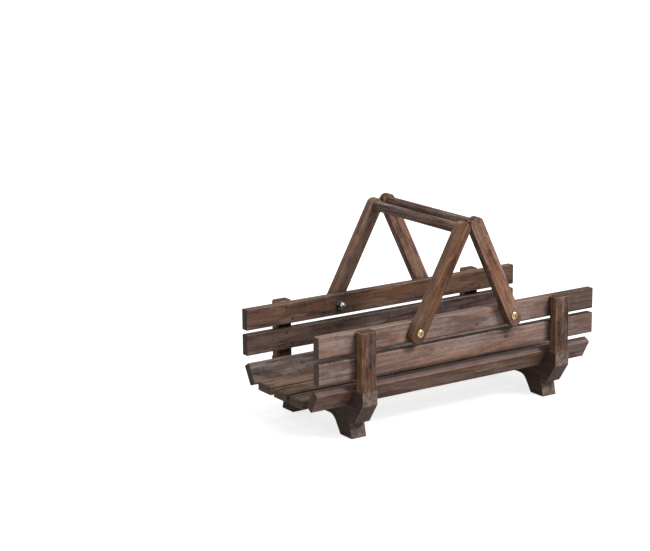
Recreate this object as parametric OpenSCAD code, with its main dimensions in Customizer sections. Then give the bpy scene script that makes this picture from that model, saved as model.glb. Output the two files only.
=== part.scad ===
// Slatted wooden trug with two swinging dowel handles.
// Millimetres. X runs along the slats, Y across the basket, Z up. The feet stand on Z = 0,
// and the basket is centred on X = 0 and Y = 0. The near side is at -Y and the left end at -X.

/* [Slats] */
// Length of every slat
slat_length = 380; // [340:5:420]
// Thickness of every slat
slat_t = 10; // [8:0.5:12]
// Height of an upright side slat
side_slat_w = 24; // [20:0.5:28]
// Width of a tilted corner slat
corner_slat_w = 24; // [20:0.5:27]
// Width of a floor slat
floor_slat_w = 26; // [22:0.5:28]
// Gap between the two side slats
side_gap = 5; // [2:0.5:10]
// Upright gap between a corner slat and the side slat over it
corner_gap = 7; // [4:0.5:12]
// Gap between two floor slats
floor_gap = 6; // [3:0.5:8]
// Radius of the slats' long edges
slat_round = 1.4; // [0.6:0.1:2.5]
// Small bevel round the slats' sawn ends
end_ease = 0.7; // [0.3:0.1:1.5]

/* [Basket] */
// Width over the side slats' outer faces
basket_w = 154; // [150:1:170]
// Height of the bearers' beds, which carry the floor slats
bed_h = 35; // [31:0.5:42]
// Lean of the corner slats away from upright
corner_tilt = 30; // [22:1:38]
// How far a corner slat's lower outer edge stands in from the side slats' outer faces
corner_inset = 15.5; // [14:0.5:20]
// Height of that edge over the bed
corner_lift = 0.7; // [0.3:0.1:2]

/* [Bearers] */
// Thickness of the two cross bearers, along the basket
bearer_t = 19; // [15:0.5:24]
// Distance from the slats' ends in to the bearers' middle planes
bearer_inset = 56.5; // [46:0.5:66]
// Height of the upright outer face of a bearer's ear
ear_face_h = 15.5; // [8:0.5:18]
// Height of the ear's underside over the ground
ear_bottom_h = 19; // [14:0.5:24]
// How far the ear's bevel comes in from its outer face
ear_bevel = 15; // [8:0.5:18]
// How far the foot's outer side stands in from the ear's outer face, at the ear
foot_in_top = 25; // [22:0.5:30]
// How far it stands in at the ground, where the foot splays outwards
foot_in_ground = 21; // [17:0.5:24]
// Width of a foot's sole
sole_w = 22; // [16:0.5:28]
// Height of the arch between the feet
arch_h = 19.5; // [14:0.5:24]
// Lean of the arch's sides away from upright
arch_lean = 34; // [20:1:42]
// Radius of the arch's upper corners
arch_r = 14; // [6:0.5:16]

/* [Posts] */
// Width of a post along the basket
post_w = 19; // [14:0.5:24]
// Depth of a post across the basket
post_d = 13.5; // [11:0.5:18]
// How far the posts rise over the top slats
post_rise = 1; // [0:0.5:6]
// Bevel along the posts' arrises and round their tops
post_ease = 1.8; // [0.8:0.1:3]

/* [Handles] */
// Distance between the two pivots of one side
pivot_spacing = 130; // [110:1:150]
// Distance from the pivot to the middle of the grip
arm_reach = 121.5; // [110:0.5:135]
// Distance from the pivot to the arm's lower end
arm_tail = 13; // [11:0.5:16]
// Width of an arm
arm_w = 18; // [15:0.5:21]
// Thickness of an arm
arm_t = 10; // [8:0.5:12]
// Radius of the arms' edges
arm_round = 1.4; // [0.6:0.1:2.5]
// Diameter of a grip
grip_d = 12; // [10:0.5:14]
// Depth of the blind socket that holds a grip's end
socket_depth = 6; // [4:0.5:7]
// Lean of the left handle towards the middle when the two handles meet, in degrees
left_lean = 29; // [26:0.5:30]

/* [Pivot hardware] */
// Diameter of a pivot bolt
bolt_d = 5; // [4:0.5:6]
// Diameter of a bolt's pan head
bolt_head_d = 9; // [8:0.5:11]
// Height of the pan head
bolt_head_h = 2.4; // [2:0.1:4]
// Radius of the pan head's domed top
bolt_dome_r = 6.5; // [6:0.5:12]
// Width of each slot of the head's cross recess
recess_w = 1.1; // [0.8:0.1:1.6]
// Length of each slot
recess_span = 5; // [3:0.1:6]
// Depth of the recess
recess_depth = 1.2; // [0.8:0.1:1.8]
// Diameter of a washer
washer_d = 10.5; // [10:0.5:13]
// Thickness of a washer
washer_t = 1; // [0.6:0.1:1.6]
// Width of a dome nut across its flats
nut_af = 8; // [8:0.5:10]
// Height of the nut's six-sided part
nut_hex_h = 4; // [3:0.5:5]
// Radius of the nut's dome
nut_dome_r = 3.7; // [3.4:0.1:3.9]
// Length of bolt held in the nut
nut_grip = 5.5; // [4:0.5:6]

/* [Nails and dowels] */
// Diameter of a nail
nail_d = 1.6; // [1.2:0.1:2]
// Diameter of a nail's flush head
nail_head_d = 3; // [2.4:0.1:3.6]
// Thickness of a nail's head
nail_head_h = 0.8; // [0.5:0.1:1.2]
// Length of a nail
nail_length = 20; // [16:0.5:22]
// Distance of a pair of nails from the middle of the slat, across it
nail_spread = 7; // [4:0.5:8]
// Distance of the pair from the middle of the bearer or post, along the slat
nail_stagger = 4; // [2:0.5:5]
// Diameter of the hidden dowel between an ear and its post
dowel_d = 6; // [4:0.5:8]
// Length of that dowel
dowel_length = 24; // [16:1:28]

/* [Clearances] */
// Radial clearance of a bolt in its arm's bore
running_gap = 0.05; // [0.02:0.01:0.1]
// Side play of an arm against the slat and under the bolt's head
arm_play = 0.3; // [0.2:0.05:0.8]
// Radial clearance of a bolt in its slat and washer
bolt_hole_gap = 0.15; // [0.1:0.05:0.4]
// Clearance round a grip's end, a nail and a dowel
glue_gap = 0.05; // [0.02:0.01:0.1]
// Gap between the two handles where their arms meet
meeting_gap = 0.4; // [0.3:0.05:1]
// Gap between a folded-out arm and the post it lies on
rest_gap = 0.3; // [0.2:0.05:1]

/* [Hidden] */
$fn = 64;

// Signs for the sides and ends
NEAR = -1;
FAR = 1;
LEFT = -1;
RIGHT = 1;

// Colours, as stained wood and plated metal
side_wood = "#7c6a60";
inner_wood = "#6a574c";
floor_wood = "#51473d";
bearer_wood = "#544840";
post_wood = "#665850";
arm_wood = "#7d6052";
grip_wood = "#6c5e52";
dowel_wood = "#b9976b";
brass = "#c2a15a";
silver = "#b8b8ba";
nail_steel = "#3a3735";

// How far a cutter runs past the face that it cuts
past = 1;

// Faces of the side slats, and of what stands outside them
side_outer = basket_w / 2;
side_inner = side_outer - slat_t;
side_mid = side_outer - slat_t / 2;
ear_outer = side_outer + post_d;
post_y = side_outer + post_d / 2;

// The corner slats: their lower outer edge, the way up their outer face, and their middle
corner_edge_y = side_outer - corner_inset;
corner_edge_z = bed_h + corner_lift;
corner_mid_y = corner_edge_y + sin(corner_tilt) * corner_slat_w / 2 - cos(corner_tilt) * slat_t / 2;
corner_mid_z = corner_edge_z + cos(corner_tilt) * corner_slat_w / 2 + sin(corner_tilt) * slat_t / 2;
corner_top_y = corner_edge_y + sin(corner_tilt) * corner_slat_w;
corner_top_z = corner_edge_z + cos(corner_tilt) * corner_slat_w;

// Heights of the ears, the side slats and the posts
ear_top = corner_top_z;
lower_slat_z = corner_top_z + sin(corner_tilt) * slat_t + corner_gap;
top_slat_z = lower_slat_z + side_slat_w + side_gap;
lower_mid_z = lower_slat_z + side_slat_w / 2;
top_mid_z = top_slat_z + side_slat_w / 2;
post_top = top_slat_z + side_slat_w + post_rise;

// The bearers' middle planes, and the floor slats
bearer_x = slat_length / 2 - bearer_inset;
floor_pitch = floor_slat_w + floor_gap;
floor_mid_z = bed_h + slat_t / 2;

// The pivots, on the middle line of the top slats
pivot_x = pivot_spacing / 2;
pivot_z = top_mid_z;
arm_inner = side_outer + arm_play;
arm_outer = arm_inner + arm_t;
arm_mid = arm_inner + arm_t / 2;
head_seat = arm_outer + arm_play;
washer_seat = side_inner - washer_t;

// The right handle's lean: its arm ends meet those of the left handle
left_grip_dx = 2 * pivot_x - arm_reach * sin(left_lean);
left_grip_dz = arm_reach * cos(left_lean);
to_left_grip = norm([left_grip_dx, left_grip_dz]);
meeting = arm_w + meeting_gap;
meeting_angle = acos((pow(to_left_grip, 2) + pow(arm_reach, 2) - pow(meeting, 2))
    / (2 * to_left_grip * arm_reach));
right_lean = atan2(left_grip_dx, left_grip_dz) - meeting_angle;

// How far a handle swings outwards from upright, until its arms lie on the posts' beveled tops
post_edge_x = bearer_x - post_w / 2 - pivot_x;
post_edge_z = post_top - pivot_z;
function arm_slope_on(x, z) = atan2(z, x) + asin((arm_w / 2 + rest_gap) / norm([x, z]));
fold_slope = max(arm_slope_on(post_edge_x, post_edge_z - post_ease),
    arm_slope_on(post_edge_x + post_ease, post_edge_z));
left_travel = left_lean + 90 - fold_slope;
right_travel = right_lean + 90 - fold_slope;
echo(right_lean = right_lean, left_travel = left_travel, right_travel = right_travel);
echo(pivot_x = pivot_x, pivot_z = pivot_z, post_top = post_top, ear_top = ear_top);

// A rectangle with round corners, centred
module rounded_rect(width, height, radius) {
    square([width - 2 * radius, height], center = true);
    square([width, height - 2 * radius], center = true);
    for (x = [-1, 1], y = [-1, 1])
        translate([x * (width / 2 - radius), y * (height / 2 - radius)])
            circle(radius);
}

// A rectangle with beveled corners, centred
module beveled_rect(width, height, bevel) {
    x = width / 2;
    y = height / 2;
    polygon([
        [-x + bevel, -y], [x - bevel, -y], [x, -y + bevel], [x, y - bevel],
        [x - bevel, y], [-x + bevel, y], [-x, y - bevel], [-x, -y + bevel],
    ]);
}

// Places its children with their Z axis along the outward Y of one side
module facing(side) {
    rotate([-90 * side, 0, 0])
        children();
}

// A nail along +Z with its flush head at the origin, grown all round by a gap
module nail(gap = 0) {
    translate([0, 0, -gap])
        cylinder(h = nail_length + 2 * gap, d = nail_d + 2 * gap);
    translate([0, 0, -gap])
        cylinder(h = nail_head_h + 2 * gap, d = nail_head_d + 2 * gap);
}

// Two nails set askew over a joint, spread along Y
module nail_pair(gap = 0) {
    for (s = [-1, 1])
        translate([s * nail_stagger, s * nail_spread, 0])
            nail(gap);
}

module side_nails_at(side, z, gap = 0) {
    for (end = [LEFT, RIGHT])
        translate([end * bearer_x, side * side_inner, z])
            facing(side)
                nail_pair(gap);
}

// In the tilted frame of a corner slat: X along it, Z up its face, Y through it
module at_corner(side) {
    translate([0, side * corner_mid_y, corner_mid_z])
        rotate([-side * corner_tilt, 0, 0])
            children();
}

module corner_nails_at(side, gap = 0) {
    at_corner(side)
        for (end = [LEFT, RIGHT])
            translate([end * bearer_x, -side * slat_t / 2, 0])
                facing(side)
                    nail_pair(gap);
}

module floor_nails_at(row, gap = 0) {
    for (end = [LEFT, RIGHT])
        translate([end * bearer_x, row * floor_pitch, bed_h + slat_t])
            rotate([180, 0, 0])
                nail_pair(gap);
}

// The dowel that stands in an ear and in the foot of its post
module dowel_at(side, end, gap = 0) {
    translate([end * bearer_x, side * post_y, ear_top])
        cylinder(h = dowel_length + 2 * gap, d = dowel_d + 2 * gap, center = true);
}

// A slat along X with its thickness along Y and its width along Z, centred
module slat(width) {
    intersection() {
        rotate([90, 0, 90])
            linear_extrude(slat_length, center = true)
                rounded_rect(slat_t, width, slat_round);
        rotate([90, 0, 0])
            linear_extrude(2 * slat_t, center = true)
                beveled_rect(slat_length, width, end_ease);
        linear_extrude(2 * width, center = true)
            beveled_rect(slat_length, slat_t, end_ease);
    }
}

module top_slat(side) {
    color(side_wood)
        difference() {
            translate([0, side * side_mid, top_mid_z])
                slat(side_slat_w);
            side_nails_at(side, top_mid_z, glue_gap);
            for (end = [LEFT, RIGHT])
                translate([end * pivot_x, side * side_mid, pivot_z])
                    rotate([90, 0, 0])
                        cylinder(h = slat_t + 2 * past, d = bolt_d + 2 * bolt_hole_gap, center = true);
        }
}

module lower_slat(side) {
    color(side_wood)
        difference() {
            translate([0, side * side_mid, lower_mid_z])
                slat(side_slat_w);
            side_nails_at(side, lower_mid_z, glue_gap);
        }
}

module corner_slat(side) {
    color(inner_wood)
        difference() {
            at_corner(side)
                slat(corner_slat_w);
            corner_nails_at(side, glue_gap);
        }
}

module floor_slat(row) {
    color(floor_wood)
        difference() {
            translate([0, row * floor_pitch, floor_mid_z])
                rotate([90, 0, 0])
                    slat(floor_slat_w);
            floor_nails_at(row, glue_gap);
        }
}

// The outline of a bearer, across the basket and up: a bed between two cradles, an ear
// outside each cradle, a splayed foot under it and an arch between the feet
module bearer_outline() {
    bed_edge = corner_edge_y - corner_lift * tan(corner_tilt);
    half = [
        [bed_edge, bed_h],
        [corner_top_y, ear_top],
        [ear_outer, ear_top],
        [ear_outer, ear_top - ear_face_h],
        [ear_outer - ear_bevel, ear_bottom_h],
        [ear_outer - foot_in_top, ear_bottom_h],
        [ear_outer - foot_in_ground, 0],
    ];
    last = len(half) - 1;
    difference() {
        polygon(concat(half, [for (i = [last : -1 : 0]) [-half[i].x, half[i].y]]));
        arch_outline();
    }
}

// The opening under a bearer, with round upper corners
module arch_outline() {
    ground_y = ear_outer - foot_in_ground - sole_w;
    corner_y = ground_y - arch_h * tan(arch_lean);
    tangent = arch_r * tan((90 - arch_lean) / 2);
    top_y = corner_y - tangent;
    side_y = corner_y + tangent * sin(arch_lean);
    side_z = arch_h - tangent * cos(arch_lean);
    below_y = ground_y + past * tan(arch_lean);
    polygon([
        [-below_y, -past], [below_y, -past], [side_y, side_z], [top_y, arch_h],
        [-top_y, arch_h], [-side_y, side_z],
    ]);
    for (s = [-1, 1])
        translate([s * top_y, arch_h - arch_r])
            circle(arch_r);
}

module bearer(end) {
    color(bearer_wood)
        difference() {
            translate([end * bearer_x, 0, 0])
                rotate([90, 0, 90])
                    linear_extrude(bearer_t, center = true)
                        bearer_outline();
            for (row = [-1 : 1])
                floor_nails_at(row, glue_gap);
            for (side = [NEAR, FAR]) {
                corner_nails_at(side, glue_gap);
                dowel_at(side, end, glue_gap);
            }
        }
}

module post(side, end) {
    height = post_top - ear_top;
    color(post_wood)
        difference() {
            translate([end * bearer_x, side * post_y, ear_top])
                intersection() {
                    linear_extrude(height)
                        beveled_rect(post_w, post_d, post_ease);
                    rotate([90, 0, 0])
                        linear_extrude(2 * post_d, center = true)
                            translate([0, height / 2 - post_ease])
                                beveled_rect(post_w, height + 2 * post_ease, post_ease);
                    rotate([90, 0, 90])
                        linear_extrude(2 * post_w, center = true)
                            translate([0, height / 2 - post_ease])
                                beveled_rect(post_d, height + 2 * post_ease, post_ease);
                }
            side_nails_at(side, top_mid_z, glue_gap);
            side_nails_at(side, lower_mid_z, glue_gap);
            dowel_at(side, end, glue_gap);
        }
}

// Puts its children on a handle: the pivot at the origin, the arm along +Z
module on_handle(end) {
    lean = end == LEFT ? left_lean : right_lean;
    translate([end * pivot_x, 0, pivot_z])
        rotate([0, -end * lean, 0])
            children();
}

// One round end of an arm, up from its middle point
module arm_end() {
    rotate([90, 0, 0])
        rotate_extrude(angle = 180)
            intersection() {
                rounded_rect(arm_w, arm_t, arm_round);
                translate([0, -arm_t])
                    square([arm_w, 2 * arm_t]);
            }
}

module handle_arm(end, side) {
    tail_mid = arm_tail - arm_w / 2;
    color(arm_wood)
        on_handle(end)
            translate([0, side * arm_mid, 0])
                difference() {
                    union() {
                        translate([0, 0, -tail_mid])
                            linear_extrude(arm_reach + tail_mid)
                                rounded_rect(arm_w, arm_t, arm_round);
                        translate([0, 0, arm_reach])
                            arm_end();
                        translate([0, 0, -tail_mid])
                            rotate([0, 180, 0])
                                arm_end();
                    }
                    rotate([90, 0, 0])
                        cylinder(h = arm_t + 2 * past, d = bolt_d + 2 * running_gap, center = true);
                    translate([0, -side * (arm_t / 2 + past), arm_reach])
                        facing(side)
                            cylinder(h = socket_depth + past, d = grip_d + 2 * glue_gap);
                }
}

module handle_grip(end) {
    half = arm_inner + socket_depth - glue_gap;
    r = grip_d / 2;
    color(grip_wood)
        on_handle(end)
            translate([0, 0, arm_reach])
                rotate([90, 0, 0])
                    rotate_extrude()
                        polygon([
                            [0, -half], [r - end_ease, -half], [r, -half + end_ease],
                            [r, half - end_ease], [r - end_ease, half], [0, half],
                        ]);
}

// A pan-head bolt: its head outside the arm, its end in the nut
module pivot_bolt(side, end) {
    tip = washer_seat - nut_grip;
    color(brass)
        translate([end * pivot_x, side * tip, pivot_z])
            facing(side)
                difference() {
                    union() {
                        cylinder(h = head_seat - tip, d = bolt_d);
                        translate([0, 0, head_seat - tip])
                            intersection() {
                                cylinder(h = bolt_head_h, d = bolt_head_d);
                                translate([0, 0, bolt_head_h - bolt_dome_r])
                                    sphere(bolt_dome_r);
                            }
                    }
                    translate([0, 0, head_seat - tip + bolt_head_h])
                        for (turn = [0, 90])
                            rotate([0, 0, turn])
                                cube([recess_span, recess_w, 2 * recess_depth], center = true);
                }
}

module washer(side, end) {
    color(silver)
        translate([end * pivot_x, side * washer_seat, pivot_z])
            facing(side)
                difference() {
                    cylinder(h = washer_t, d = washer_d);
                    translate([0, 0, -past])
                        cylinder(h = washer_t + 2 * past, d = bolt_d + 2 * bolt_hole_gap);
                }
}

// A dome nut against the washer, closed over the bolt's end
module dome_nut(side, end) {
    color(silver)
        translate([end * pivot_x, side * washer_seat, pivot_z])
            facing(-side)
                difference() {
                    union() {
                        cylinder(h = nut_hex_h, d = nut_af / cos(30), $fn = 6);
                        translate([0, 0, nut_hex_h])
                            sphere(nut_dome_r);
                    }
                    translate([0, 0, -past])
                        cylinder(h = nut_grip + glue_gap + past, d = bolt_d + 2 * glue_gap);
                }
}

module side_slat_nails() {
    color(nail_steel)
        for (side = [NEAR, FAR], z = [lower_mid_z, top_mid_z])
            side_nails_at(side, z);
}

module corner_slat_nails() {
    color(nail_steel)
        for (side = [NEAR, FAR])
            corner_nails_at(side);
}

module floor_slat_nails() {
    color(nail_steel)
        for (row = [-1 : 1])
            floor_nails_at(row);
}

module post_dowels() {
    color(dowel_wood)
        for (side = [NEAR, FAR], end = [LEFT, RIGHT])
            dowel_at(side, end);
}

top_slat(NEAR);  // near_top_slat
lower_slat(NEAR);  // near_lower_slat
corner_slat(NEAR);  // near_corner_slat
top_slat(FAR);  // far_top_slat
lower_slat(FAR);  // far_lower_slat
corner_slat(FAR);  // far_corner_slat
floor_slat(-1);  // near_floor_slat
floor_slat(0);  // middle_floor_slat
floor_slat(1);  // far_floor_slat
bearer(LEFT);  // left_bearer
bearer(RIGHT);  // right_bearer
post(NEAR, LEFT);  // near_left_post
post(NEAR, RIGHT);  // near_right_post
post(FAR, LEFT);  // far_left_post
post(FAR, RIGHT);  // far_right_post
handle_arm(LEFT, NEAR);  // left_handle_near_arm
handle_arm(LEFT, FAR);  // left_handle_far_arm
handle_grip(LEFT);  // left_handle_grip
handle_arm(RIGHT, NEAR);  // right_handle_near_arm
handle_arm(RIGHT, FAR);  // right_handle_far_arm
handle_grip(RIGHT);  // right_handle_grip
pivot_bolt(NEAR, LEFT);  // near_left_bolt
pivot_bolt(NEAR, RIGHT);  // near_right_bolt
pivot_bolt(FAR, LEFT);  // far_left_bolt
pivot_bolt(FAR, RIGHT);  // far_right_bolt
washer(NEAR, LEFT);  // near_left_washer
washer(NEAR, RIGHT);  // near_right_washer
washer(FAR, LEFT);  // far_left_washer
washer(FAR, RIGHT);  // far_right_washer
dome_nut(NEAR, LEFT);  // near_left_nut
dome_nut(NEAR, RIGHT);  // near_right_nut
dome_nut(FAR, LEFT);  // far_left_nut
dome_nut(FAR, RIGHT);  // far_right_nut
side_slat_nails();
corner_slat_nails();
floor_slat_nails();
post_dowels();
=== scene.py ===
"""A slatted wooden trug with two swinging dowel handles: the looks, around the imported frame."""
import math

import bpy
from mathutils import Matrix, Vector

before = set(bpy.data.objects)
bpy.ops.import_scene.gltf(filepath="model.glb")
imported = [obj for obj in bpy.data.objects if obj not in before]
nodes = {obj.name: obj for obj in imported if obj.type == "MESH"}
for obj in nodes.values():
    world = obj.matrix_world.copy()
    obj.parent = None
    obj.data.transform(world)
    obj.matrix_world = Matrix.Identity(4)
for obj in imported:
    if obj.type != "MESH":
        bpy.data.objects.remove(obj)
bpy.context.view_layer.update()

MM = 0.001
SIDES = ("near", "far")
ENDS = ("left", "right")

# The view: the lens and the place it looks from, as azimuth, elevation and roll about an aim point
SENSOR_MM = 36.0
LENS_MM = 102.51
VIEW_AZIMUTH = math.radians(-33.517)
VIEW_ELEVATION = math.radians(13.520)
VIEW_ROLL = math.radians(-0.513)
VIEW_DISTANCE = 2.0953
AIM = Vector((-0.0858, 0.0662, 0.1466))

# Each lamp's place, the length of its side in metres and its power in watts
LAMPS = {
    "key": ((1.1, -2.1, 2.4), 0.9, 92.0),
    "top": ((0.0, 0.1, 2.6), 1.6, 18.0),
    "fill": ((-2.3, -0.5, 1.6), 1.4, 10.0),
    "back": ((0.8, 2.4, 1.5), 1.4, 12.0),
}
LAMP_AIM = Vector((0.0, 0.0, 0.1))
# How strongly the world lights the object, where white is 1
AMBIENT = 0.27
WHITE = (1.0, 1.0, 1.0, 1.0)

# The studio floor: its reach, and the grey on which the object's shadow falls
FLOOR_HALF = 6.0
FLOOR_GREY = (0.45, 0.45, 0.45, 1.0)
# How strongly it glows for the camera close to the basket, and between which distances that grows
GLOW_NEAR = 0.78
GLOW_START = 0.25
GLOW_END = 0.8

# How far the handles lean from upright at rest
LEFT_LEAN = math.radians(29.0)
RIGHT_LEAN = math.radians(25.84)
# How far the corner slats lean from upright, and the lower faces of the bearers' ears from level
CORNER_TILT = math.radians(30.0)
EAR_TILT = math.radians(30.0)

# Turns that bring local X to the grain
ALONG_X = Matrix.Identity(3)
ALONG_Y = Matrix(((0, -1, 0), (1, 0, 0), (0, 0, 1)))
ALONG_Z = Matrix(((0, 0, -1), (0, 1, 0), (1, 0, 0)))
# A post: local X up it, local Y along the basket, local Z across the basket
STANDING = Matrix(((0, 1, 0), (0, 0, 1), (1, 0, 0)))
# A slat on edge: local Y up its face, local Z out through it
UPRIGHT = Matrix(((1, 0, 0), (0, 0, -1), (0, 1, 0)))

# Noise in the wood, with along and across as its changes per metre. A span says where in the noise
# a feature starts to show and where it is full. shift_by keeps one noise from following another.
DRIFT = dict(along=6.0, across=30.0, detail=2.0)
FIBRE = dict(along=14.0, across=120.0, detail=3.0)
KNOT_RIM = dict(along=180.0, across=320.0, detail=3.0)
STREAK = dict(along=9.0, across=210.0, detail=4.0, roughness=0.6)
THREAD = dict(along=15.0, across=480.0, detail=3.0, roughness=0.6)
TONE = dict(along=11.0, across=38.0, detail=3.0, roughness=0.5)
CLOUD = dict(along=60.0, across=150.0, detail=4.0, roughness=0.6)
FLECK = dict(along=260.0, across=900.0, detail=3.0, roughness=0.7)
PORE = dict(along=70.0, across=1500.0, detail=2.0, span=(0.60, 0.74))
SAW_MARK = dict(along=620.0, across=24.0, detail=3.0, span=(0.50, 0.72))
SAW_PLACE = dict(along=11.0, across=38.0, detail=2.0, scale=0.8, span=(0.42, 0.62))
PATCH = dict(along=10.0, across=90.0, detail=2.0, shift_by=(3.0, 2.0, 5.0), span=(0.45, 0.66))
CAST = dict(along=14.0, across=60.0, detail=3.0, shift_by=(7.0, 3.0, 2.0), span=(0.38, 0.62))
BLOTCH = dict(along=38.0, across=125.0, detail=5.0, roughness=0.65, shift_by=(2.0, 5.0, 3.0),
              span=(0.53, 0.70))
RAGGED = dict(along=130.0, across=300.0, detail=3.0)
RUBBED = dict(along=11.0, across=38.0, detail=3.0, scale=1.7)
# How far a piece's seed moves its noise along each axis
SEED_SHIFT = (1.37, 0.71, 2.13)

# The rings: how far they drift and wobble, in metres, how much the log's middle slants along the
# piece, and where in a ring the dark latewood rises and falls
RING_DRIFT = 0.014
RING_WOBBLE = 0.0034
LOG_SLANT = 0.035
LATEWOOD_RISE = (0.45, 0.93)
LATEWOOD_FALL = (1.0, 0.94)

# A knot, in shares of its radius: its ragged rim, how far out it bends the rings and by how much,
# and where its dark middle starts and is full. It is longer along the grain by 1 / KNOT_LENGTHWISE.
KNOT_RAGGED = 1.6
KNOT_REACH = 3.6
KNOT_BEND = 1.3
KNOT_OUTSIDE = 1.25
KNOT_INSIDE = 0.55
KNOT_LENGTHWISE = 0.62
KNOT_DEPTH = 0.7

# How much each noise counts in the depth of the stain, and where in it the tones change. Streaks
# raise that sum, so the changes lie higher where they are strong.
STREAK_SHARE = 0.5
THREAD_SHARE = 0.4
TONE_SHARE = 0.4
CLOUD_SHARE = 0.85
FLECK_SHARE = 0.36
DARK_TO_MID = (0.62, 0.81)
MID_TO_LIGHT = (0.79, 0.96)
STREAK_LIFT = 0.2
# How dark the pores are, and the casts between which the wood changes slowly
PORE_DEPTH = 0.45
COOL_CAST = (0.96, 1.0, 1.05, 1.0)
WARM_CAST = (1.06, 1.0, 0.93, 1.0)

# How squarely a face must point in a direction to take its stain, and how the clouds thin that:
# where they start and stop, and how much of the stain they leave there
FACE_SPAN = (0.5, 0.8)
FACE_PATCHY = (0.38, 0.64, 0.4, 1.0)

# Edges, ends and painted lower-edge shade, in metres: how ragged they are, and how deep each starts
# and is full
RAGGED_BY = 0.0018
EDGE_WIDTH = (0.0026, 0.0014)
END_WIDTH = (0.0008, 0.0001)
LOWER_SHADE_WIDTH = (0.0055, 0.0015)
# How much of that raggedness the ends and the painted lower-edge shade take
END_RAGGED = 0.3
LOWER_SHADE_RAGGED = 1.5
# How far the rounded normal must leave the true one for an arris to count as one
ARRIS_TURN = (0.99, 0.90)
# How much two noises each count in breaking up the wear, and where in their sum the wear shows
PATCHY_SHARE = 0.6
ARRIS_PATCHY = (0.48, 0.64)
EDGE_PATCHY = (0.50, 0.66)
# Where in the latewood a sawn end turns dark, and how much stain it soaked up
END_LATEWOOD = (0.1, 0.8)
END_DEPTH = 0.8

# Grime and painted shade in seams, recesses and under overhangs, by how open the point is: the
# full amount at the first value, none at the second. Its reach in the metal is in millimetres.
WOOD_SEAM = (0.30, 0.80)
WOOD_SEAM_GRIME_AND_SHADE = 0.75
METAL_SEAM = (0.35, 0.85)
METAL_SEAM_GRIME_AND_SHADE = 0.85
METAL_SEAM_REACH = 3.0
# How many rays look for edges and seams
RAY_SAMPLES = 6

# How high each noise stands in the wood's relief, the relief's strength and depth, and the gloss
LATEWOOD_HEIGHT = 0.5
STREAK_HEIGHT = 0.8
PORE_HEIGHT = -0.5
FLECK_HEIGHT = 0.3
WOOD_BUMP = (0.6, 0.0007)
WOOD_ROUGHNESS = (0.2, 0.8, 0.86, 0.62)
WOOD_SPECULAR = 0.14

# The plating's fine scratches, by their changes per metre, with their relief's strength and depth
SCRATCH = (2600.0, 2600.0, 300.0)
SCRATCH_BUMP = (0.12, 0.0001)
# Where in its noise the tarnish shows, and where the gloss changes
TARNISH_SPAN = (0.45, 0.75)
GLOSS_SPAN = (0.3, 0.7)

# The rounding of sawn arrises: its widths in millimetres on slats and posts, and on the bearers
SLAT_ROUNDING = 0.7
BEARER_ROUNDING = 1.1
WELD_DISTANCE = 1e-5
ROUND_SEGMENTS = 3
ROUND_FROM_ANGLE = math.radians(28)


def srgb(red, green, blue):
    """A colour given as 0 to 255 on screen, as the linear colour that a shader takes."""
    def linear(value):
        value /= 255
        return value / 12.92 if value <= 0.04045 else ((value + 0.055) / 1.055) ** 2.4
    return (linear(red), linear(green), linear(blue), 1.0)


def tones(dark, mid, light, worn=None, tint=None, tint_amount=0.0):
    """A stain's tones from dark to light, that of its worn edges, and its patches of another."""
    named = dict(dark=dark, mid=mid, light=light, worn=worn, tint=tint)
    given = {name: srgb(*tone) for name, tone in named.items() if tone is not None}
    return dict(given, tint_amount=tint_amount)


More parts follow.
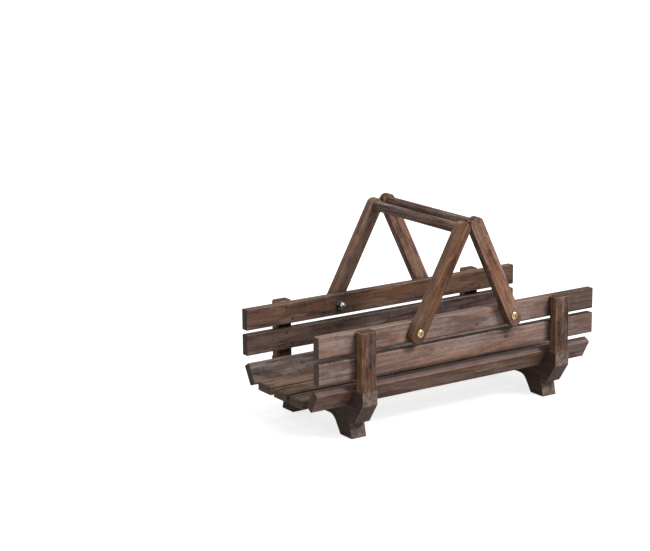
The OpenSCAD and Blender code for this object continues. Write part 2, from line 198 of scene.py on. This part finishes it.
class Graph:
    """Short calls that add and join the nodes of one node tree."""

    def __init__(self, tree):
        self.tree = tree

    def add(self, kind, **settings):
        node = self.tree.nodes.new(kind)
        for key, value in settings.items():
            setattr(node, key, value)
        return node

    def feed(self, socket, value):
        """Links a socket to another one, or gives it a plain value."""
        if isinstance(value, bpy.types.NodeSocket):
            self.tree.links.new(value, socket)
        else:
            socket.default_value = value

    def feed_all(self, node, values):
        for socket, value in zip(node.inputs, values):
            self.feed(socket, value)
        return node

    def math(self, operation, *values):
        return self.feed_all(self.add("ShaderNodeMath", operation=operation), values).outputs[0]

    def plus(self, a, b):
        return self.math("ADD", a, b)

    def minus(self, a, b):
        return self.math("SUBTRACT", a, b)

    def times(self, a, b):
        return self.math("MULTIPLY", a, b)

    def weigh(self, *parts):
        """The sum of values, each times its weight."""
        total, *rest = [self.times(value, weight) for value, weight in parts]
        for part in rest:
            total = self.plus(total, part)
        return total

    def hypot(self, a, b):
        squares = self.plus(self.times(a, a), self.times(b, b))
        return self.math("POWER", squares, 0.5)

    def vector(self, operation, *values):
        node = self.feed_all(self.add("ShaderNodeVectorMath", operation=operation), values)
        is_number = operation in ("DOT_PRODUCT", "LENGTH")
        return node.outputs["Value" if is_number else "Vector"]

    def join(self, x, y, z):
        return self.feed_all(self.add("ShaderNodeCombineXYZ"), (x, y, z)).outputs[0]

    def ramp(self, value, low, high, out_low=0.0, out_high=1.0):
        """Eases from out_low to out_high while value goes from low to high."""
        node = self.add("ShaderNodeMapRange", interpolation_type="SMOOTHSTEP")
        return self.feed_all(node, (value, low, high, out_low, out_high)).outputs[0]

    def noise(self, place, scale, detail, roughness=0.55):
        node = self.add("ShaderNodeTexNoise")
        settings = {"Vector": place, "Scale": scale, "Detail": detail, "Roughness": roughness}
        for name, value in settings.items():
            self.feed(node.inputs[name], value)
        return node.outputs[0]

    def mix(self, factor, a, b, blend="MIX"):
        node = self.add("ShaderNodeMix", data_type="RGBA", blend_type=blend)
        self.feed(node.inputs[0], factor)
        self.feed(node.inputs[6], a)
        self.feed(node.inputs[7], b)
        return node.outputs[2]

    def bump(self, height, strength, distance):
        node = self.add("ShaderNodeBump")
        self.feed(node.inputs["Strength"], strength)
        self.feed(node.inputs["Distance"], distance)
        self.feed(node.inputs["Height"], height)
        return node.outputs[0]

    def seen_rays(self):
        """1 for rays that the camera, gloss or glass sees by, and 0 for rays that only light."""
        path = self.add("ShaderNodeLightPath").outputs
        direct = self.math("MAXIMUM", path["Is Camera Ray"], path["Is Glossy Ray"])
        return self.math("MAXIMUM", direct, path["Is Transmission Ray"])


class Material(Graph):
    """The node tree of one new material."""

    def __init__(self, name):
        self.material = bpy.data.materials.new(name)
        self.material.use_nodes = True
        super().__init__(self.material.node_tree)

    def shade(self, values):
        """Gives the shader's sockets, by name, a value or another socket."""
        shader = self.tree.nodes["Principled BSDF"]
        for name, value in values.items():
            self.feed(shader.inputs[name], value)
        return self.material

    def seam_grime_and_shade(self, reach_mm, span, amount):
        """The amount of grime and painted shade where the point is walled in, down to 0 where it is
        open.
        """
        node = self.add("ShaderNodeAmbientOcclusion", samples=RAY_SAMPLES)
        self.feed(node.inputs["Distance"], reach_mm * MM)
        return self.ramp(node.outputs["AO"], *span, amount, 0.0)


class Board:
    """Where a piece lies: its middle, its turn and its half sizes, with the grain along local X."""

    def __init__(self, name, turn=ALONG_X):
        self.turn = turn
        points = [turn.transposed() @ vertex.co for vertex in nodes[name].data.vertices]
        low = Vector([min(point[i] for point in points) for i in range(3)])
        high = Vector([max(point[i] for point in points) for i in range(3)])
        self.middle = turn @ ((low + high) / 2)
        self.half = (high - low) / 2


class Wood(Material):
    """The material of one sawn piece, which knows where in the piece the shaded point lies."""

    def __init__(self, name, board, seed):
        super().__init__(name)
        place = self.add("ShaderNodeTexCoord").outputs["Object"]
        from_middle = self.vector("SUBTRACT", place, tuple(board.middle))
        self.along, self.across, self.thick = [
            self.vector("DOT_PRODUCT", from_middle, tuple(board.turn.col[i])) for i in range(3)]
        self.point = self.join(self.along, self.across, self.thick)
        self.shift = self.join(*[seed * share for share in SEED_SHIFT])
        self.half = [float(size) for size in board.half]
        # How deep the point lies in the piece's box: from its ends, and from its two pairs of sides
        self.depths = [self.minus(half, self.math("ABSOLUTE", offset)) for half, offset
                       in zip(self.half, (self.along, self.across, self.thick))]

    def grain(self, along, across, detail, roughness=0.55, scale=1.0, shift_by=None, span=None):
        """Noise that is stretched along the grain."""
        shift = self.shift if shift_by is None else self.vector("MULTIPLY", self.shift, shift_by)
        stretched = self.vector("MULTIPLY", self.point, (along, across, across))
        level = self.noise(self.vector("ADD", stretched, shift), scale, detail, roughness)
        return level if span is None else self.ramp(level, *span)

    def around_zero(self, level, reach):
        """A noise moved to lie around 0, reach wide."""
        return self.times(self.minus(level, 0.5), reach)

    def from_knot(self, along_mm, across_mm, radius):
        """How far the point is from a knot's middle, in metres, with a ragged rim."""
        lengthwise = self.times(self.minus(self.along, along_mm * MM), KNOT_LENGTHWISE)
        crosswise = self.minus(self.across, across_mm * MM)
        rim = self.around_zero(self.grain(**KNOT_RIM), radius * KNOT_RAGGED)
        return self.plus(self.hypot(lengthwise, crosswise), rim)

    def latewood(self, ring, heart, bend):
        """The dark part of the growth rings, cut at a slant."""
        side = self.plus(self.plus(self.across, heart[0] * MM), bend)
        slant = self.times(self.along, LOG_SLANT)
        under = self.plus(self.plus(self.thick, heart[1] * MM), slant)
        wobble = self.around_zero(self.grain(**FIBRE), RING_WOBBLE)
        rings_out = self.math("DIVIDE", self.plus(self.hypot(side, under), wobble), ring * MM)
        phase = self.math("FRACT", rings_out)
        return self.times(self.ramp(phase, *LATEWOOD_RISE), self.ramp(phase, *LATEWOOD_FALL))

    def on_arris(self, reach_mm):
        """1 on every edge of the shape, and 0 on its faces."""
        rounded = self.add("ShaderNodeBevel", samples=RAY_SAMPLES)
        self.feed(rounded.inputs["Radius"], reach_mm * MM)
        true = self.add("ShaderNodeNewGeometry").outputs["Normal"]
        same = self.vector("DOT_PRODUCT", rounded.outputs["Normal"], true)
        return self.ramp(same, *ARRIS_TURN)

    def on_box_edge(self, ragged):
        """1 on the edges of the piece's box: the middle one of the three depths is small there."""
        from_end, *from_sides = self.depths
        low = self.math("MINIMUM", *from_sides)
        high = self.math("MAXIMUM", *from_sides)
        middle = self.math("MAXIMUM", low, self.math("MINIMUM", high, from_end))
        return self.ramp(self.plus(middle, ragged), *EDGE_WIDTH)


# The tones of the stained wood, and of the plain wood of the hidden dowels
OUTER = tones((106, 85, 78), (139, 117, 109), (163, 141, 130), (168, 146, 128), (142, 104, 84), 0.5)
CORNER = tones((84, 66, 58), (120, 98, 88), (148, 124, 113), (158, 128, 106), (118, 86, 68), 0.6)
# The far slats' own tones, darkened with painted shade where they face into the basket
SHADED_INNER_WARM = tones((64, 48, 41), (97, 76, 66), (128, 103, 90), (146, 120, 102), (114, 82, 60), 0.6)
SHADED_INNER_DARK = tones((58, 46, 44), (93, 77, 72), (122, 104, 98), (134, 118, 108), (88, 64, 58), 0.5)
SHADED_INNER_GREY = tones((58, 49, 45), (95, 84, 80), (130, 118, 112), (150, 136, 124), (108, 84, 72), 0.4)
BOTTOM = tones((66, 52, 44), (110, 91, 78), (140, 120, 104), (140, 122, 102), (106, 80, 58), 0.5)
POST = tones((52, 38, 33), (96, 76, 69), (142, 119, 109), (186, 126, 84), (104, 66, 42), 0.7)
BEARER = tones((46, 35, 33), (78, 62, 57), (118, 101, 92), (142, 116, 94), (76, 54, 44), 0.5)
ARM_LEFT = tones((70, 47, 37), (108, 77, 62), (140, 107, 87), (168, 144, 112), (120, 90, 62), 0.5)
ARM_RIGHT = tones((84, 58, 47), (136, 104, 88), (168, 136, 116), (172, 146, 122), (146, 98, 74),
                  0.5)
GRIP = tones((64, 49, 42), (108, 88, 79), (148, 129, 118), tint=(118, 90, 74), tint_amount=0.5)
BEECH = tones((160, 126, 88), (186, 151, 107), (206, 174, 132))

# Stains and painted shade on single faces, stains in knots and ends, painted shade along lower
# edges, and grime and painted shade in seams. The dark tone times SOOT is a blotch.
END_STAIN = srgb(138, 121, 111)
OLIVE_STAIN = srgb(122, 94, 66)
MAUVE_STAIN = srgb(116, 102, 104)
# Painted shade on the bearers' left faces and on the lower faces of their ears
LEFT_FACE_SHADE = srgb(58, 43, 36)
EAR_UNDERSIDE_SHADE = srgb(76, 59, 52)
BROWN_KNOT = srgb(62, 40, 30)
RED_KNOT = srgb(104, 54, 40)
SOOT = srgb(190, 180, 176)
# Painted shade along the near slats' lower edges
LOWER_EDGE_SHADE_TONE = srgb(52, 38, 34)
SAWN_END = srgb(64, 47, 38)
# Grime and painted shade in the wood's seams and under overhangs, and in the metal's corners and
# recesses
SEAM_GRIME_AND_SHADE = srgb(38, 28, 26)
METAL_GRIME_AND_SHADE = srgb(34, 28, 20)

# Faces with a colour of their own, stained on some and painted light and shade on others: the way
# they face, their colour and its amount
TO_LEFT = (-1.0, 0.0, 0.0)
TO_NEAR = (0.0, -1.0, 0.0)
TO_FAR = (0.0, 1.0, 0.0)
UP = (0.0, 0.0, 1.0)
# Painted shade darkens the near top slat's upper edge and the near slats' inside faces, and the
# painted shadow of the slat above darkens the near lower slat's upper edge
SHADED_UPPER_EDGE = (UP, srgb(98, 80, 71), 0.9)
SHADOWED_UPPER_EDGE = (UP, srgb(48, 36, 32), 1.0)
SHADED_NEAR_INSIDE = (TO_FAR, srgb(90, 70, 61), 0.6)
FAR_OUTSIDE = (TO_FAR, srgb(136, 114, 106), 0.7)
CORNER_EDGE = ((0.0, -math.sin(CORNER_TILT), math.cos(CORNER_TILT)), MAUVE_STAIN, 0.8)
POST_SIDE = (TO_LEFT, OLIVE_STAIN, 0.65)
# The bearers' near and far end grain is stained; their left faces and the ears' lower faces carry
# painted shade
BEARER_FACES = (
    (TO_NEAR, END_STAIN, 0.9),
    (TO_FAR, END_STAIN, 0.9),
    (TO_LEFT, LEFT_FACE_SHADE, 0.8),
    ((0.0, -math.sin(EAR_TILT), -math.cos(EAR_TILT)), EAR_UNDERSIDE_SHADE, 0.85),
    ((0.0, math.sin(EAR_TILT), -math.cos(EAR_TILT)), EAR_UNDERSIDE_SHADE, 0.85),
)
# Painted light on the left arms' side that faces up, painted shade on the right arms' side that
# faces down, and painted light on the near face of the left far arm, which lies in shade
PAINTED_LIGHT_SIDE = ((-math.cos(LEFT_LEAN), 0.0, math.sin(LEFT_LEAN)), srgb(138, 110, 94), 0.8)
PAINTED_SHADE_SIDE = ((-math.cos(RIGHT_LEAN), 0.0, -math.sin(RIGHT_LEAN)), srgb(58, 42, 33), 0.95)
PAINTED_LIGHT_FACE = (TO_NEAR, srgb(146, 124, 114), 0.7)

# How an arm darkens towards its foot
ARM_FOOT = (-44, -64, 0.62)

# What each slat and arm has of its own, in the words of stained_wood
SLATS = {
    # The near slats: painted shade on their upper edges, inside faces and lower edges
    "near_top_slat": dict(OUTER, seed=1.0, heart=(4, 40), knot=(20, -5, 1.6), soot=0.35,
                          fade=(105, 145, 0.42), lower_edge_shade=0.7, faces=(SHADED_UPPER_EDGE, SHADED_NEAR_INSIDE)),
    "near_lower_slat": dict(OUTER, seed=2.3, heart=(-6, 34), knot=(62, 3, 2.0), soot=0.35,
                            fade=(110, 160, 0.75), lower_edge_shade=0.7,
                            faces=(SHADOWED_UPPER_EDGE, SHADED_NEAR_INSIDE)),
    "near_corner_slat": dict(CORNER, seed=3.1, heart=(10, 60), faces=(CORNER_EDGE,)),
    # The far slats: painted shade on their inside faces, their own tone on their outside faces
    "far_top_slat": dict(SHADED_INNER_WARM, seed=4.7, heart=(-4, -38), knot=(70, 2, 2.0),
                         faces=(FAR_OUTSIDE,)),
    "far_lower_slat": dict(SHADED_INNER_DARK, seed=5.9, heart=(8, -50), faces=(FAR_OUTSIDE,)),
    "far_corner_slat": dict(SHADED_INNER_GREY, seed=6.4, heart=(0, -36), knot=(-122, 1, 2.6)),
    "near_floor_slat": dict(BOTTOM, seed=7.7, heart=(5, 45), end_dark=0.7),
    "middle_floor_slat": dict(BOTTOM, seed=8.2, heart=(-7, 38), end_dark=0.7),
    "far_floor_slat": dict(BOTTOM, seed=9.6, heart=(2, 52), knot=(40, 4, 2.0), end_dark=0.7),
}
ARMS = {
    # The arms' sides carry painted light and painted shade
    "left_handle_near_arm": dict(ARM_LEFT, seed=22.9, heart=(3, 45), faces=(PAINTED_LIGHT_SIDE,)),
    "left_handle_far_arm": dict(ARM_LEFT, seed=24.2, heart=(3, 45), faces=(PAINTED_LIGHT_SIDE, PAINTED_LIGHT_FACE)),
    "right_handle_near_arm": dict(ARM_RIGHT, seed=26.0, heart=(-3, 45), faces=(PAINTED_SHADE_SIDE,)),
    "right_handle_far_arm": dict(ARM_RIGHT, seed=27.3, heart=(-3, 45), faces=(PAINTED_SHADE_SIDE,)),
}


def assign(name, material):
    materials = nodes[name].data.materials
    materials.clear()
    materials.append(material)


def stained_wood(name, board, seed, dark, mid, light, worn=None, tint=None, tint_amount=0.0,
                 heart=(6, 55), ring=4.2, rings=0.12, knot=None, knot_tone=BROWN_KNOT,
                 streaks=1.0, soot=0.5, saw=0.32, faces=(), wear=0.55, arris=None,
                 end_dark=1.0, lower_edge_shade=0.0, seam_reach=9.0, fade=None):
    """Gives a piece brushed and stained softwood: slanted rings, pores, smudges and worn edges.

    All lengths are in millimetres from the piece's middle. heart is where the log's middle runs,
    across and below the piece, ring is the rings' spacing and rings is how dark they are. knot is
    its place along and across and its radius. streaks, soot and saw are the strength of the long
    streaks, of the dark blotches and of the pale saw marks across the grain. faces names the
    directions whose faces get a colour of their own, stained on some and painted light and shade
    on others, each with a colour and an amount. wear is how bare the edges are, where worn gives
    their tone. With arris it follows every edge of the shape, that wide, and otherwise those of its
    box. end_dark is how dark the sawn ends are, drip how much painted shade lies along the lower
    edge, and seam_reach how far out of the seams and recesses their grime and painted shade reach.
    fade darkens the piece from one place along it to another, to a share of its tone.
    """
    g = Wood(name + "_wood", board, seed)

    # The rings bend slowly along the piece, and sharply round the knot
    bend = g.around_zero(g.grain(**DRIFT), RING_DRIFT)
    if knot is not None:
        radius = knot[2] * MM
        away = g.from_knot(knot[0], knot[1], radius)
        near = g.ramp(away, radius * KNOT_REACH, 0.0)
        bend = g.plus(bend, g.times(near, radius * KNOT_BEND))
        knot_dark = g.ramp(away, radius * KNOT_OUTSIDE, radius * KNOT_INSIDE)
    latewood = g.latewood(ring, heart, bend)

    # The depth of the stain: streaks, threads, long drifts of tone, clouds, flecks and the rings
    streak = g.grain(**STREAK)
    cloud = g.grain(**CLOUD)
    fleck = g.grain(**FLECK)
    level = g.weigh((streak, STREAK_SHARE * streaks), (g.grain(**TONE), TONE_SHARE),
                    (cloud, CLOUD_SHARE - STREAK_SHARE * streaks), (fleck, FLECK_SHARE),
                    (latewood, -rings), (g.grain(**THREAD), THREAD_SHARE * streaks))
    lift = STREAK_LIFT * streaks
    colour = g.mix(g.ramp(level, *[edge + lift for edge in DARK_TO_MID]), dark, mid)
    colour = g.mix(g.ramp(level, *[edge + lift for edge in MID_TO_LIGHT]), colour, light)

    # Pale saw marks in places, patches of another tone, and dark pores
    marks = g.times(g.grain(**SAW_MARK), g.grain(**SAW_PLACE))
    colour = g.mix(g.times(marks, saw), colour, light)
    if tint is not None:
        colour = g.mix(g.times(g.grain(**PATCH), tint_amount), colour, tint)
    pore = g.grain(**PORE)
    colour = g.mix(g.times(pore, PORE_DEPTH), colour, dark)

    # A slow change from a cool to a warm cast, dark blotches, and the knot
    cast = g.mix(g.grain(**CAST), COOL_CAST, WARM_CAST)
    colour = g.mix(1.0, colour, cast, "MULTIPLY")
    sooty = tuple(a * b for a, b in zip(dark, SOOT))
    colour = g.mix(g.times(g.grain(**BLOTCH), soot), colour, sooty)
    if knot is not None:
        colour = g.mix(g.times(knot_dark, KNOT_DEPTH), colour, knot_tone)

    # The faces with a colour of their own: stained on some, painted light and shade on others
    facing = g.add("ShaderNodeTexCoord").outputs["Normal"]
    patchy = g.ramp(cloud, *FACE_PATCHY)
    for direction, face_tone, amount in faces:
        squarely = g.vector("DOT_PRODUCT", facing, direction)
        turned = g.ramp(squarely, *FACE_SPAN, 0.0, amount)
        colour = g.mix(g.times(turned, patchy), colour, face_tone)

    # Edges worn bare in places
    ragged = g.times(g.grain(**RAGGED), RAGGED_BY)
    if worn is not None:
        if arris is not None:
            edge = g.on_arris(arris)
            patchy = g.ramp(g.weigh((cloud, PATCHY_SHARE), (fleck, PATCHY_SHARE)), *ARRIS_PATCHY)
        else:
            edge = g.on_box_edge(ragged)
            rubbed = g.grain(**RUBBED)
            patchy = g.ramp(g.weigh((rubbed, PATCHY_SHARE), (fleck, PATCHY_SHARE)), *EDGE_PATCHY)
        colour = g.mix(g.times(g.times(edge, patchy), wear), colour, worn)

    # Painted shade along the lower edge, the sawn ends, and grime and painted shade in the seams
    if lower_edge_shade > 0.0:
        ragged_height = g.plus(g.across, g.times(ragged, LOWER_SHADE_RAGGED))
        start, full = [width - g.half[1] for width in LOWER_SHADE_WIDTH]
        colour = g.mix(g.ramp(ragged_height, start, full, 0.0, lower_edge_shade), colour, LOWER_EDGE_SHADE_TONE)
    end = g.ramp(g.minus(g.depths[0], g.times(ragged, END_RAGGED)), *END_WIDTH)
    end_grain = g.mix(g.ramp(latewood, *END_LATEWOOD), mid, dark)
    end_grain = g.mix(END_DEPTH, end_grain, SAWN_END)
    colour = g.mix(g.times(end, end_dark), colour, end_grain)
    colour = g.mix(g.seam_grime_and_shade(seam_reach, WOOD_SEAM, WOOD_SEAM_GRIME_AND_SHADE), colour, SEAM_GRIME_AND_SHADE)
    if fade is not None:
        start, stop, share = fade
        faded = g.mix(1.0, colour, (share, share, share, 1.0), "MULTIPLY")
        colour = g.mix(g.ramp(g.along, start * MM, stop * MM), colour, faded)

    # Brushing leaves the hard latewood proud and opens the pores
    height = g.weigh((latewood, LATEWOOD_HEIGHT), (streak, STREAK_HEIGHT),
                     (pore, PORE_HEIGHT), (fleck, FLECK_HEIGHT))
    assign(name, g.shade({
        "Base Color": colour,
        "Normal": g.bump(height, *WOOD_BUMP),
        "Roughness": g.ramp(streak, *WOOD_ROUGHNESS),
        "Specular IOR Level": WOOD_SPECULAR,
    }))


def plated(name, colour, tarnish, roughness, scale, metallic=1.0):
    """Plated metal with a little tarnish, fine handling marks, and grime and painted shade in its
    corners.
    """
    g = Material(name)
    place = g.add("ShaderNodeTexCoord").outputs["Object"]
    cloud = g.noise(place, scale, 4.0)
    scratch = g.noise(g.vector("MULTIPLY", place, SCRATCH), 1.0, 2.0)
    finish = g.mix(g.ramp(cloud, *TARNISH_SPAN), colour, tarnish)
    # Grime and painted shade where the metal is walled in, as in the bolt heads' cross recesses
    grime_and_shade = g.seam_grime_and_shade(METAL_SEAM_REACH, METAL_SEAM, METAL_SEAM_GRIME_AND_SHADE)
    return g.shade({
        "Base Color": g.mix(grime_and_shade, finish, METAL_GRIME_AND_SHADE),
        "Roughness": g.ramp(cloud, *GLOSS_SPAN, *roughness),
        "Normal": g.bump(scratch, *SCRATCH_BUMP),
        "Metallic": metallic,
    })


def soften(name, width_mm):
    """Rounds the sharp arrises of a sawn piece a little."""
    weld = nodes[name].modifiers.new("weld", "WELD")
    weld.merge_threshold = WELD_DISTANCE
    bevel = nodes[name].modifiers.new("bevel", "BEVEL")
    bevel.width = width_mm * MM
    bevel.segments = ROUND_SEGMENTS
    bevel.limit_method = "ANGLE"
    bevel.angle_limit = ROUND_FROM_ANGLE
    bevel.harden_normals = True


def slat_turn(name):
    if "floor" in name:
        return ALONG_X
    if "corner" in name:
        tilt = CORNER_TILT if name.startswith("near") else -CORNER_TILT
        return Matrix.Rotation(tilt, 3, "X") @ UPRIGHT
    return UPRIGHT


def arm_turn(name):
    """Local X up the arm, local Y along the basket."""
    lean = LEFT_LEAN if name.startswith("left") else -RIGHT_LEAN
    return Matrix.Rotation(lean, 3, "Y") @ ALONG_Z @ Matrix.Rotation(math.radians(90), 3, "X")


def dress_slats():
    for name, look in SLATS.items():
        stained_wood(name, Board(name, slat_turn(name)), **look)
        soften(name, SLAT_ROUNDING)


def dress_bearers():
    for i, end in enumerate(ENDS):
        name = end + "_bearer"
        # Their long seam reach paints shade from the ears onto the feet below, with grime in the
        # seams
        stained_wood(name, Board(name, ALONG_Y), seed=11.3 + i, heart=(20, 70), ring=3.6,
                     rings=0.04, streaks=0.25, soot=0.9, saw=0.0, faces=BEARER_FACES, wear=0.9,
                     arris=2.2, end_dark=0.0, seam_reach=18.0, **BEARER)
        soften(name, BEARER_ROUNDING)


def dress_posts():
    names = [f"{side}_{end}_post" for side in SIDES for end in ENDS]
    for number, name in enumerate(names, start=1):
        knot = (-13, 1, 3.2) if name == "near_left_post" else None
        stained_wood(name, Board(name, STANDING), seed=14.1 + number * 1.7,
                     heart=(4 * number - 10, 60), ring=3.2, rings=0.06, knot=knot,
                     knot_tone=RED_KNOT, streaks=0.6, soot=0.7, saw=0.1, faces=(POST_SIDE,),
                     wear=0.95, **POST)
        soften(name, SLAT_ROUNDING)


def dress_handles():
    for name, look in ARMS.items():
        stained_wood(name, Board(name, arm_turn(name)), ring=3.4, soot=0.6, wear=0.7, arris=1.2,
                     fade=ARM_FOOT, **look)
    for i, end in enumerate(ENDS):
        name = f"{end}_handle_grip"
        stained_wood(name, Board(name, ALONG_Y), seed=31.7 + i, heart=(6, 12), ring=3.0, **GRIP)


def dress_hardware():
    brass = plated("brass_plating", srgb(192, 168, 124), srgb(88, 70, 46), (0.12, 0.28), 700.0)
    zinc = plated("zinc_plating", srgb(168, 168, 170), srgb(88, 88, 94), (0.12, 0.3), 500.0)
    steel = plated("nail_steel", srgb(52, 45, 40), srgb(82, 66, 54), (0.5, 0.7), 320.0,
                   metallic=0.6)
    for side in SIDES:
        for end in ENDS:
            assign(f"{side}_{end}_bolt", brass)
            assign(f"{side}_{end}_washer", zinc)
            assign(f"{side}_{end}_nut", zinc)
    for name in ("side_slat_nails", "corner_slat_nails", "floor_slat_nails"):
        assign(name, steel)
    stained_wood("post_dowels", Board("post_dowels"), seed=40.0, **BEECH)


def make_camera():
    level_reach = math.cos(VIEW_ELEVATION)
    back = Vector((math.sin(VIEW_AZIMUTH) * level_reach, -math.cos(VIEW_AZIMUTH) * level_reach,
                   math.sin(VIEW_ELEVATION)))
    right = Vector((math.cos(VIEW_AZIMUTH), math.sin(VIEW_AZIMUTH), 0.0))
    level = Matrix((right, back.cross(right), back)).transposed()
    turn = level @ Matrix.Rotation(VIEW_ROLL, 3, "Z")
    data = bpy.data.cameras.new("camera")
    data.sensor_width = SENSOR_MM
    data.sensor_fit = "HORIZONTAL"
    data.lens = LENS_MM
    camera = bpy.data.objects.new("camera", data)
    camera.matrix_world = Matrix.Translation(AIM + back * VIEW_DISTANCE) @ turn.to_4x4()
    bpy.context.scene.collection.objects.link(camera)
    bpy.context.scene.camera = camera


def make_floor():
    """A pale floor that the camera sees as white, and that keeps the object's shadow."""
    half = FLOOR_HALF
    mesh = bpy.data.meshes.new("floor")
    mesh.from_pydata([(-half, -half, 0), (half, -half, 0), (half, half, 0), (-half, half, 0)],
                     [], [(0, 1, 2, 3)])
    floor = bpy.data.objects.new("floor", mesh)
    bpy.context.scene.collection.objects.link(floor)
    g = Material("pale_floor")
    distance = g.vector("LENGTH", g.add("ShaderNodeTexCoord").outputs["Object"])
    glow = g.ramp(distance, GLOW_START, GLOW_END, GLOW_NEAR, 1.0)
    mesh.materials.append(g.shade({
        "Base Color": FLOOR_GREY,
        "Roughness": 0.9,
        "Specular IOR Level": 0.1,
        "Emission Color": WHITE,
        "Emission Strength": g.times(glow, g.seen_rays()),
    }))


def make_light():
    """Large square lamps that face the basket, and a world that is white where it is seen."""
    for name, (place, size, watts) in LAMPS.items():
        data = bpy.data.lights.new(name, "AREA")
        data.shape = "SQUARE"
        data.size = size
        data.energy = watts
        lamp = bpy.data.objects.new(name, data)
        lamp.location = place
        lamp.rotation_euler = (LAMP_AIM - Vector(place)).to_track_quat("-Z", "Y").to_euler()
        bpy.context.scene.collection.objects.link(lamp)
    world = bpy.data.worlds.new("studio")
    world.use_nodes = True
    bpy.context.scene.world = world
    g = Graph(world.node_tree)
    background = world.node_tree.nodes["Background"]
    g.feed(background.inputs["Color"], WHITE)
    g.feed(background.inputs["Strength"], g.ramp(g.seen_rays(), 0.0, 1.0, AMBIENT, 1.0))


bpy.context.scene.view_settings.view_transform = "Standard"
make_camera()
dress_slats()
dress_bearers()
dress_posts()
dress_handles()
dress_hardware()
make_floor()
make_light()
